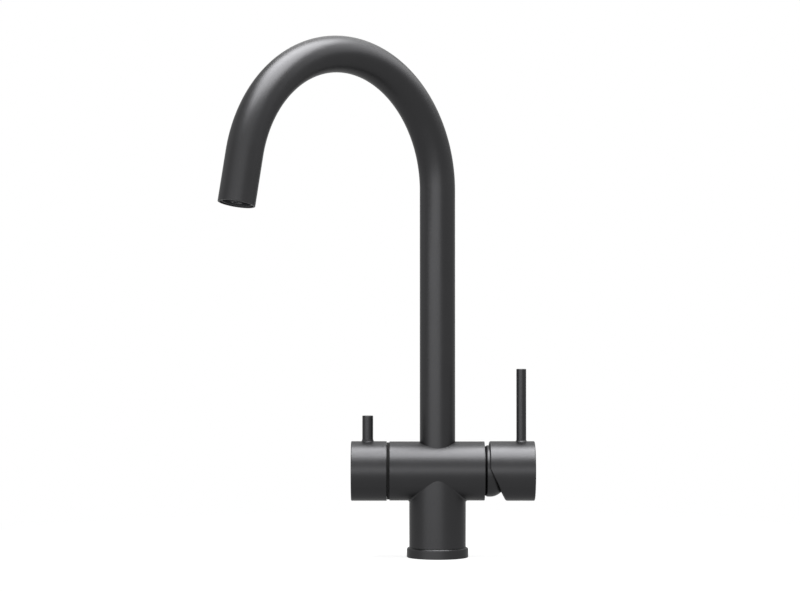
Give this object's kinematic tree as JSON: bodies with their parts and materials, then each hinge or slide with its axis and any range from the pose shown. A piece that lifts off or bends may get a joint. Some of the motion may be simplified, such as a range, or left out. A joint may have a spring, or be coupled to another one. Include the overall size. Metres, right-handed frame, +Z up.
{
  "type": "kitchen mixer tap",
  "caption": "Kitchen mixer tap with a swivelling swan-neck spout, a side lever mixer handle and a quarter-turn filtered-water knob, in a dark gunmetal coating.",
  "frame": {"origin": "middle of the foot's underside, on the axis of the column and the riser", "axes": "+Z up, +X to the right along the barrel towards the mixer handle, -Y towards the user"},
  "size_m": [0.2471, 0.1857, 0.4157],
  "materials": {
    "coat": "satin dark gunmetal coating",
    "brass": "machined",
    "steel": "brushed",
    "rubber": "matte",
    "ceramic": "polished",
    "white_plastic": "matte",
    "grey_plastic": "matte"
  },
  "bodies": {
    "tap_body": {"body_tee": "coat", "foot_ring": "coat", "base_seal": "rubber", "hose_block": "brass", "tube_socket": "brass", "tube_o_ring": "rubber", "spout_slide_ring": "white_plastic", "spout_lock_screw": "steel", "cartridge_base": "grey_plastic", "cartridge_seals": "rubber", "cartridge_housing": "white_plastic", "fixed_disc": "ceramic", "cartridge_nut": "brass", "dome_cover": "coat", "knob_ring": "rubber", "valve_body": "brass", "valve_seal": "rubber", "valve_fixed_disc": "ceramic"},
    "spout": {"spout_tube": "coat", "spout_bush": "brass", "spout_o_rings": "rubber", "filter_tube": "white_plastic", "aerator_housing": "grey_plastic", "aerator_screen": "grey_plastic", "aerator_seal": "rubber", "filter_nozzle": "grey_plastic"},
    "mixer_rotor": {"cartridge_rotor": "white_plastic", "stem_pin": "steel"},
    "mixer_disc": {"disc_carrier": "grey_plastic", "moving_disc": "ceramic"},
    "mixer_grip": {"cartridge_stem": "brass", "mixer_handle": "coat", "mixer_lever": "coat", "handle_screw": "steel", "handle_plug": "coat"},
    "filter_grip": {"valve_spindle": "brass", "valve_moving_disc": "ceramic", "valve_clip": "steel", "filter_knob": "coat", "filter_lever": "coat", "knob_screw": "steel", "knob_plug": "coat"}
  },
  "joints": [
    {"name": "spout_swivel", "type": "hinge", "parent": "tap_body", "child": "spout", "pos_m": [0, 0, 0], "axis": [0, 0, 1], "continuous": true},
    {"name": "mixer_turn", "type": "hinge", "parent": "tap_body", "child": "mixer_rotor", "pos_m": [0.041, 0, 0.07], "axis": [1, 0, 0], "range_deg": [-50, 50]},
    {"name": "mixer_lift", "type": "hinge", "parent": "mixer_rotor", "child": "mixer_grip", "pos_m": [0.041, 0, 0.07], "axis": [0, 1, 0], "range_deg": [0, 25]},
    {"name": "disc_slide", "type": "slide", "parent": "mixer_rotor", "child": "mixer_disc", "axis": [0, 0, 1], "range_m": [0, 0.00533]},
    {"name": "filter_turn", "type": "hinge", "parent": "tap_body", "child": "filter_grip", "pos_m": [-0.0568, 0, 0.07], "axis": [1, 0, 0], "range_deg": [0, 90]}
  ],
  "couplings": [
    {"joint": "disc_slide", "follows": "mixer_lift", "m_per_rad": 0.012107}
  ]
}
